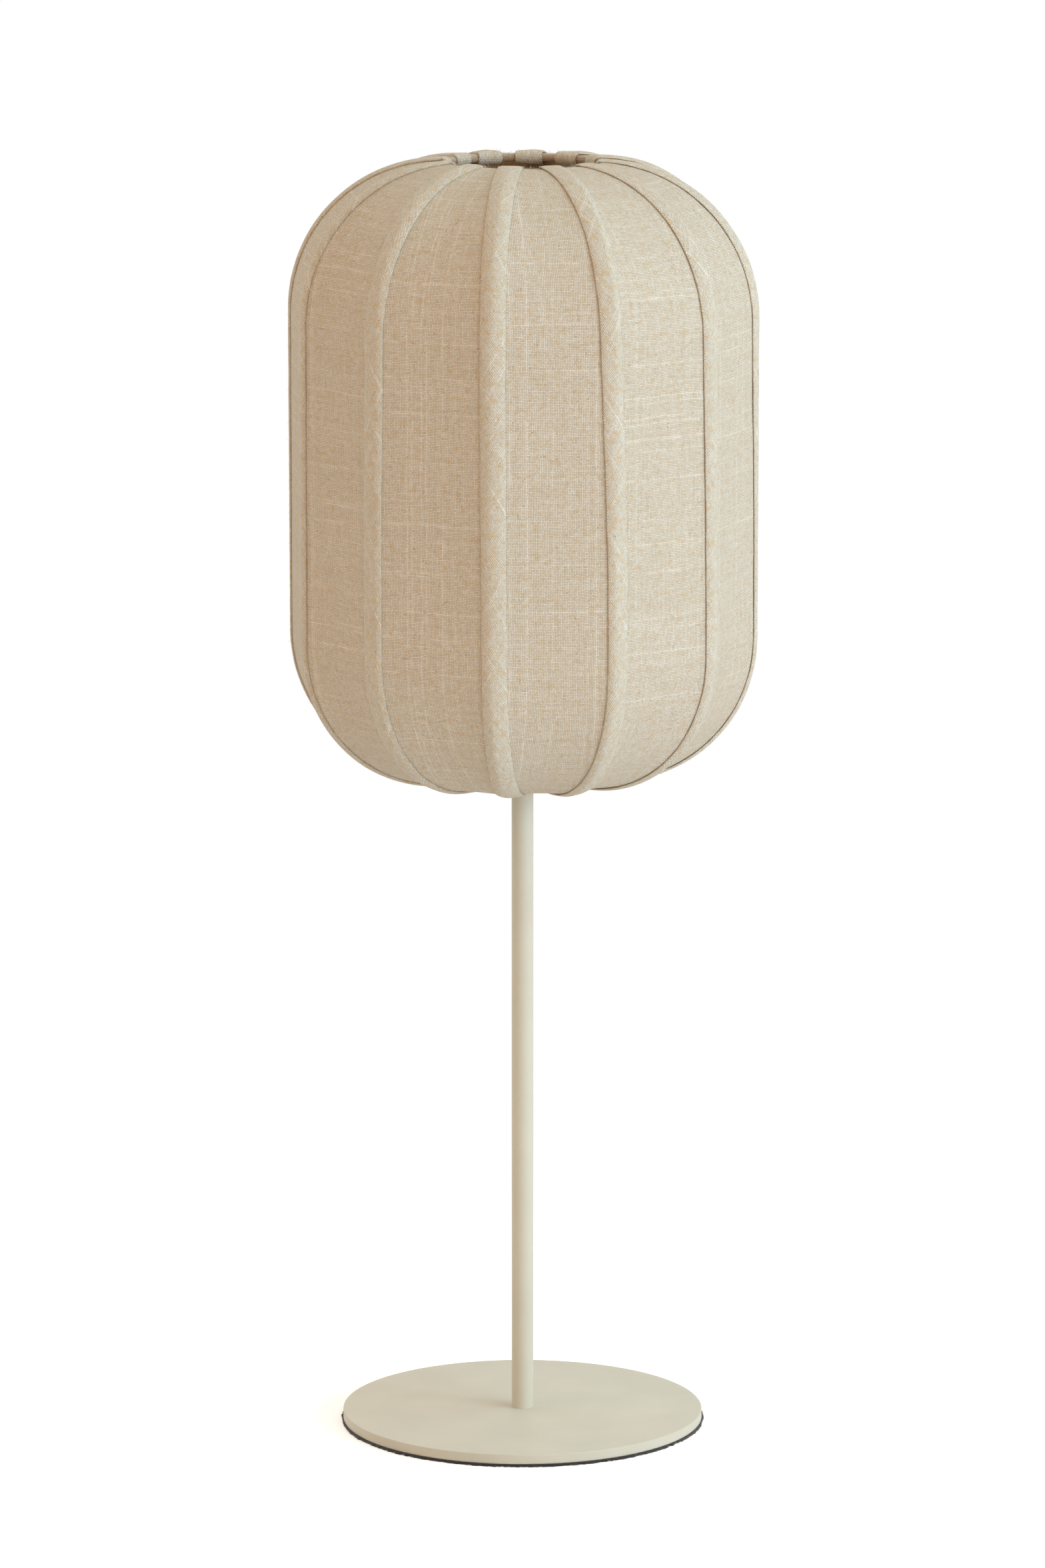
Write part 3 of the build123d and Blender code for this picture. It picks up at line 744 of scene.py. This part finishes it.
def tape_section(width, drifts, seed):
    """The tape's section in every row, clockwise from the top's left edge: places across, and heights."""
    chance = np.random.default_rng(seed)
    wander = hand_drift(drifts) + slow_wave(chance, (0.21, 0.09, 0.043), 0.0002)
    left = width / 2 + slow_wave(chance, (0.12, 0.05, 0.021), 0.00012)
    right = width / 2 + slow_wave(chance, (0.13, 0.047, 0.024), 0.00012)
    rim = tape_edge + slow_wave(chance, (0.031, 0.017, 0.011), 0.00016)
    gap = np.clip(0.00016 + slow_wave(chance, (0.037, 0.019), 0.00012), 0.00004, 0.001)
    crown = tape_crown + slow_wave(chance, (0.08, 0.035), 0.0001)
    drop = np.where(end == 0, sin(half_turn) * np.cos(climb), 0.0)

    def over_ridge(place):
        return drop * (np.abs(place) - np.hypot(place, tape_ridge) + tape_ridge)

    lines = []
    for share in np.sin(np.linspace(-pi / 2, pi / 2, tape_columns)):
        reach = (left if share < 0 else right) - tape_fold
        place = share * reach + wander
        edge = np.sign(share) * reach + wander
        thinned = (crown + over_ridge(edge) - rim) * share ** 4
        lines.append((place, crown + over_ridge(place) - thinned))
    fold = [(tape_fold * (sin(a) - 1), -tape_fold * (1 - cos(a))) for a in (0.5, 1.05, pi / 2)]
    lines += [(right + wander + out, rim + down) for out, down in fold]
    lines.append((right + wander, 0.00003))
    for share in (0.9, 0.72, 0.4, 0.0, -0.4, -0.72, -0.9):
        reach = left if share < 0 else right
        lines.append((share * reach + wander, 0.00002 + (gap if share < 0 else 0) * abs(share) ** 3))
    lines.append((-left + wander + tape_fold * 0.35, gap + 0.00008))
    lines += [(-left + wander - out, rim + down) for out, down in fold[::-1]]
    return lines


def tape_points(seam, lines):
    """The section's points in every row, laid on the two panels at the seam."""
    half = half_widths(cloth_outer)
    columns = []
    for place, height in lines:
        across = 1 - np.abs(place) / half
        lift = cloth_outer + drawn_depth(across)
        left_side = cloth_points(seam - half_turn, across[:, None], lift[:, None])[:, 0]
        right_side = cloth_points(seam + half_turn, -across[:, None], lift[:, None])[:, 0]
        point = np.where(place[:, None] < 0, left_side, right_side)
        columns.append(point + np.broadcast_to(height, rows)[:, None] * rib_normals(seam, place, half))
    return np.stack(columns, axis=1)


def drawn_depth(across):
    """How far the cloth is drawn in on the bends, at its share of the half width."""
    return -draw_in * bend_pull * (1 - across ** 2)


def rib_normals(seam, place, half):
    """The direction straight off the rib in each row, or off the ring where the tape is turned in."""
    turn = seam + place / half * half_turn * (end != 0)
    flat = np.where(end == 0, np.cos(climb), -np.sin(turn_in))
    up = np.where(end == 0, np.sin(climb), end * np.cos(turn_in))
    return np.stack([flat * np.cos(turn), flat * np.sin(turn), up], axis=-1)


bias_linen = linen_finish("bias_linen", pitch_across=0.00078, pitch_along=0.00078, slant=radians(30),
                          gap_shade=(0.12, 0.08, 0.04), dark=(0.79, 0.72, 0.58), light=(0.96, 0.95, 0.86),
                          pale=(0.98, 0.98, 0.95), weft_share=0.8, slub_share=0.4, patch_share=0.7,
                          relief_height=0.00046, see_through=0.08)

# Painted shade under each tape: its underside and its lifted left edge take the fold colour, and its top
# and its folded rims do not.
under_fold_shade = np.concatenate([np.zeros(tape_columns + 4), np.ones(8), np.zeros(3)])

tape_rims = []
for k in range(rib_count):
    seam = first_rib + k * 2 * half_turn
    points = tape_points(seam, tape_section(tape_widths[k], tape_drifts[k], tape_seed + k))
    straight_off = rib_normals(seam, np.zeros(rows), half_widths(cloth_outer))
    outer_rows = slice(len(low_turns) + bare_low_rows, rows - len(high_turns))
    tape_rims += [(points[outer_rows, j], straight_off[outer_rows]) for j in (1, tape_columns + 1)]
    gaps = np.linalg.norm(np.diff(points, axis=1, append=points[:, :1]), axis=2)
    round_size = np.concatenate([np.zeros((rows, 1)), np.cumsum(gaps, axis=1)], axis=1)
    name = f"seam_binding_{k + 1:02d}"
    tape = woven_piece(name, points, round_size, bias_linen, (0.4 * k + 0.11, 0.6 * k), round_section=True)
    folded = tape.data.attributes.new("folded", "FLOAT", "POINT")
    folded.data.foreach_set("value", np.tile(under_fold_shade, rows).astype(np.float32))
    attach(tape, "shade")
    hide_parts(f"seam_tape_{k + 1:02d}")


# Loose ends of flax stand off the cut cloth: along both edges of each tape, and thick along the top ring,
# where the hem is turned in. Each is a short bent fibre.

fibre_spacing = 0.0045
fringe_spacing = 0.0004
fringe_rise = 0.0007
fringe_inset = 0.0012
pale_flax = (0.92, 0.87, 0.78)
brown_flax = (0.74, 0.58, 0.40)


def fibre_finish():
    """Bleached flax: pale, a little translucent, some fibres browner."""
    finish, tree = new_finish("loose_flax")
    blotch = grain(tree, object_place(tree), 900.0, 1.0)
    tint = blend_colours(tree, remap(tree, blotch, 0.35, 0.65, 0.0, 1.0), pale_flax, brown_flax)
    flax = add(tree, "ShaderNodeBsdfPrincipled", {"Base Color": tint, "Roughness": 0.6})
    through = add(tree, "ShaderNodeBsdfTranslucent", {"Color": tint})
    close_finish(tree, mix_surfaces(tree, 0.35, flax.outputs["BSDF"], through.outputs["BSDF"]))
    return finish


def fibre_growth():
    """Stands bent fibres along the guide lines, evenly spaced, leaning as the guide's attribute says."""
    tree, size = new_growth("fibre_growth", ("Spacing", "NodeSocketFloat"), ("Length", "NodeSocketFloat"),
                            ("Thickness", "NodeSocketFloat"), ("Spread", "NodeSocketFloat"),
                            ("Seed", "NodeSocketInt"), ("Finish", "NodeSocketMaterial"))
    lines = add(tree, "GeometryNodeMeshToCurve", {"Mesh": size["Guide"]})
    spaced = add(tree, "GeometryNodeResampleCurve", {"Curve": lines.outputs["Curve"],
                                                     "Length": size["Spacing"]}, mode="LENGTH")
    stands = add(tree, "GeometryNodeCurveToPoints", {"Curve": spaced.outputs["Curve"]}, mode="EVALUATED")
    bent = add(tree, "GeometryNodeCurveQuadraticBezier", {"Resolution": 3, "Start": (0, 0, 0),
                                                          "Middle": (0.16, 0.04, 0.6),
                                                          "End": (0.5, -0.06, 1.0)})
    round_rod = add(tree, "GeometryNodeCurvePrimitiveCircle", {"Resolution": 3, "Radius": 1.0},
                    mode="RADIUS")
    thin = add(tree, "GeometryNodeTransform", {"Geometry": round_rod.outputs["Curve"]})
    thickness = add(tree, "ShaderNodeCombineXYZ", {"X": size["Thickness"], "Y": size["Thickness"],
                                                   "Z": 1.0})
    tree.links.new(thickness.outputs["Vector"], thin.inputs["Scale"])
    rod = add(tree, "GeometryNodeCurveToMesh", {"Curve": bent.outputs["Curve"],
                                                "Profile Curve": thin.outputs["Geometry"],
                                                "Fill Caps": True})
    off = add(tree, "GeometryNodeInputNamedAttribute", {"Name": "off_cloth"}, data_type="FLOAT_VECTOR")
    stray = add(tree, "FunctionNodeRandomValue", {"Min": (-1, -1, -1), "Max": (1, 1, 1),
                                                  "Seed": size["Seed"]}, data_type="FLOAT_VECTOR")
    astray = add(tree, "ShaderNodeVectorMath", {0: stray.outputs["Value"]}, operation="SCALE")
    tree.links.new(size["Spread"], astray.inputs["Scale"])
    lean = add(tree, "ShaderNodeVectorMath", {0: off.outputs["Attribute"], 1: astray.outputs["Vector"]},
               operation="ADD")
    aim = add(tree, "FunctionNodeAlignRotationToVector", {"Vector": lean.outputs["Vector"]}, axis="Z")
    spin = add(tree, "FunctionNodeRandomValue", {"Seed": size["Seed"]}, data_type="FLOAT")
    spin.inputs[3].default_value = 2 * pi
    roll = add(tree, "ShaderNodeCombineXYZ", {"Z": spin.outputs[1]})
    turned = add(tree, "FunctionNodeRotateRotation", {"Rotation": aim.outputs["Rotation"],
                                                      "Rotate By": roll.outputs["Vector"]},
                 rotation_space="LOCAL")
    long = add(tree, "FunctionNodeRandomValue", {"Seed": size["Seed"]}, data_type="FLOAT")
    long.inputs[2].default_value = 0.35
    long.inputs[3].default_value = 1.0
    grown_size = calc(tree, "MULTIPLY", long.outputs[1], size["Length"])
    stand = add(tree, "GeometryNodeInstanceOnPoints", {"Points": stands.outputs["Points"],
                                                       "Instance": rod.outputs["Mesh"],
                                                       "Rotation": turned.outputs["Rotation"]})
    tree.links.new(grown_size, stand.inputs["Scale"])
    real = add(tree, "GeometryNodeRealizeInstances", {"Geometry": stand.outputs["Instances"]})
    dressed = add(tree, "GeometryNodeSetMaterial", {"Geometry": real.outputs["Geometry"],
                                                    "Material": size["Finish"]})
    add(tree, "NodeGroupOutput", {"Grown": dressed.outputs["Geometry"]})
    return tree


def guide_mesh(name, loops):
    """Edge lines with the direction off the cloth at each point. A loop is its points and directions."""
    vertices = []
    offs = []
    edges = []
    for points, directions in loops:
        first = len(vertices)
        vertices += [tuple(float(x) for x in v) for v in points]
        offs += [tuple(float(x) for x in v) for v in directions]
        edges += [(first + i, first + i + 1) for i in range(len(points) - 1)]
    guide = bpy.data.meshes.new(name)
    guide.from_pydata(vertices, edges, [])
    off = guide.attributes.new("off_cloth", "FLOAT_VECTOR", "POINT")
    off.data.foreach_set("vector", np.array(offs, np.float32).ravel())
    return guide


flax = fibre_finish()
growth = fibre_growth()
fibres = grow("tape_fibres", guide_mesh("tape_rims", tape_rims), growth,
              {"Spacing": fibre_spacing, "Length": 0.0017, "Thickness": 0.035, "Spread": 0.9, "Seed": 5,
               "Finish": flax})
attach(fibres, "shade")

hem_turns = np.linspace(0, 2 * pi, 400)
hem_radius = ring_radius - fringe_inset
hem_height = high_ring_height + ring_wire + fringe_rise
hem_points = [(hem_radius * cos(t), hem_radius * sin(t), hem_height) for t in hem_turns]
hem_offs = [(-0.25 * cos(t), -0.25 * sin(t), 1.0) for t in hem_turns]
fringe = grow("hem_fibres", guide_mesh("hem_line", [(hem_points, hem_offs)]), growth,
              {"Spacing": fringe_spacing, "Length": 0.0016, "Thickness": 0.036, "Spread": 1.2, "Seed": 8,
               "Finish": flax})
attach(fringe, "shade")


# The set is a plain pale floor, as of a paper roll. It keeps the lamp's soft shadow near the foot, and is
# plain white to the camera further out.

floor_radius = 6.0
floor_steps = 96
shadow_near = 0.25
shadow_far = 0.7


def seen_directly(tree):
    """1 for what the camera sees, straight, in a shine or through glass, and 0 for the light on things."""
    path = add(tree, "ShaderNodeLightPath")
    shine = calc(tree, "MAXIMUM", path.outputs["Is Glossy Ray"], path.outputs["Is Transmission Ray"])
    return calc(tree, "MAXIMUM", path.outputs["Is Camera Ray"], shine)


def floor_finish():
    """White paper: it takes the shadow near the lamp, and is plain white to the camera further out."""
    finish, tree = new_finish("floor_paper")
    place = add(tree, "ShaderNodeTexCoord").outputs["Object"]
    distance = add(tree, "ShaderNodeVectorMath", {0: place}, operation="LENGTH").outputs["Value"]
    paper = add(tree, "ShaderNodeBsdfDiffuse", {"Color": (0.80, 0.80, 0.79, 1)})
    lift = add(tree, "ShaderNodeEmission", {"Color": (1, 1, 1, 1), "Strength": 0.45})
    sum_up = add(tree, "ShaderNodeAddShader", {0: paper.outputs["BSDF"], 1: lift.outputs["Emission"]})
    white = add(tree, "ShaderNodeEmission", {"Color": (1, 1, 1, 1), "Strength": 1.0})
    fade = remap(tree, distance, shadow_near, shadow_far, 0.0, 1.0)
    near = mix_surfaces(tree, fade, sum_up.outputs["Shader"], white.outputs["Emission"])
    close_finish(tree, mix_surfaces(tree, seen_directly(tree), paper.outputs["BSDF"], near))
    return finish


floor_turns = [2 * pi * k / floor_steps for k in range(floor_steps)]
floor_corners = [(floor_radius * cos(t), floor_radius * sin(t), 0.0) for t in floor_turns]
floor = new_piece("floor", floor_corners, [tuple(range(floor_steps))], floor_finish(), smooth=False)


# The light is soft studio light: two lamps low on the right, one high at the side, one behind on the
# left, and a warm room round them.

lit_height = 0.38
light_distance = 2.6


def soft_light(name, bearing, climb_angle, size, power, colour):
    """A square area light aimed at the lamp's middle, by its bearing from the front and its climb."""
    data = bpy.data.lights.new(name, "AREA")
    data.size = size
    data.energy = power
    data.color = colour
    turn, rise = radians(bearing - 90), radians(climb_angle)
    toward = Vector((cos(rise) * cos(turn), cos(rise) * sin(turn), sin(rise)))
    lamp = bpy.data.objects.new(name, data)
    lamp.location = Vector((0.0, 0.0, lit_height)) + light_distance * toward
    lamp.rotation_euler = toward.to_track_quat("Z", "Y").to_euler()
    bpy.context.scene.collection.objects.link(lamp)


soft_light("key_light", bearing=66, climb_angle=12, size=0.9, power=26.3, colour=(0.654, 0.833, 1.0))
soft_light("near_light", bearing=44, climb_angle=12, size=0.9, power=15.0, colour=(0.593, 0.84, 1.0))
soft_light("high_light", bearing=90, climb_angle=62, size=1.4, power=17.0, colour=(0.18, 0.76, 1.0))
soft_light("back_light", bearing=-128, climb_angle=20, size=1.5, power=14.8, colour=(0.33, 0.79, 1.0))

world = bpy.data.worlds.new("room")
bpy.context.scene.world = world
world.use_nodes = True
world.node_tree.nodes.clear()
room = world.node_tree
room_light = add(room, "ShaderNodeBackground", {"Color": (1.0, 0.73, 0.527, 1), "Strength": 0.846})
room_white = add(room, "ShaderNodeBackground", {"Color": (1, 1, 1, 1), "Strength": 1.0})
room_both = mix_surfaces(room, seen_directly(room), room_light.outputs["Background"],
                         room_white.outputs["Background"])
add(room, "ShaderNodeOutputWorld", {"Surface": room_both})


# The camera stands where the photograph was taken from, 4 m away and a little above the shade, and looks
# down 10.5 degrees through a long lens.

camera_distance = 3.9919
camera_height = 1.1024
camera_dip = 0.1838
frame_height_px = 2352
focal_length_px = 11081
sensor = 36.0
lens_data = bpy.data.cameras.new("camera")
lens_data.sensor_width = sensor
lens_data.lens = sensor * focal_length_px / frame_height_px
camera = bpy.data.objects.new("camera", lens_data)
camera.location = (0.0, -camera_distance, camera_height)
camera.rotation_euler = (pi / 2 - camera_dip, 0.0, 0.0)
bpy.context.scene.collection.objects.link(camera)
bpy.context.scene.camera = camera
bpy.context.scene.view_settings.view_transform = "Standard"
